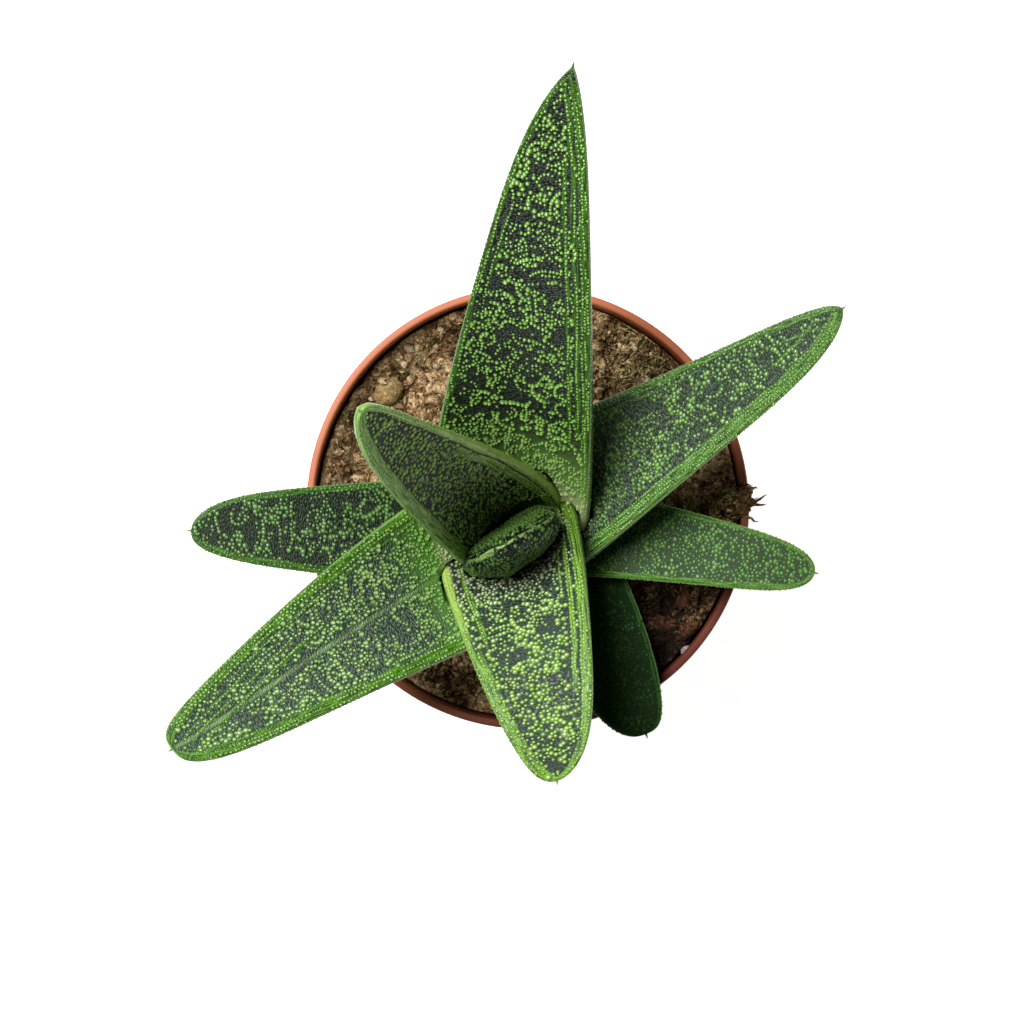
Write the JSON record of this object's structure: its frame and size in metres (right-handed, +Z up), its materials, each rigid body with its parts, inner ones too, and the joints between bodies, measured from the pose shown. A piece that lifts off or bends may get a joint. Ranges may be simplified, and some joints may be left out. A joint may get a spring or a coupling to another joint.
{
  "type": "potted gasteria",
  "caption": "Warty-leaved succulent: thick tapering leaves spiral from a short stem in peat soil that fills a round, tapered plastic nursery pot.",
  "frame": {"origin": "centre of the flat pad under the pot, on the surface that the pot stands on", "axes": "+Z up along the pot's axis; +Y towards the side of the longest leaf; +X to the right of it seen from above"},
  "size_m": [0.122, 0.1269, 0.1522],
  "materials": {
    "pot_plastic": "moulded terracotta-coloured polypropylene, satin",
    "potting_soil": "crumbly peat with bark and perlite",
    "stem_tissue": "pale waxy plant tissue",
    "leaf_skin": "dark green, finely beaded skin with raised pale green warts and bright green margins"
  },
  "bodies": {
    "root": {"pot": "pot_plastic", "soil": "potting_soil", "stem": "stem_tissue", "leaf_1": "leaf_skin", "leaf_2": "leaf_skin", "leaf_3": "leaf_skin", "leaf_4": "leaf_skin", "leaf_5": "leaf_skin", "leaf_6": "leaf_skin", "leaf_7": "leaf_skin", "leaf_8": "leaf_skin", "leaf_9": "leaf_skin"}
  },
  "joints": []
}
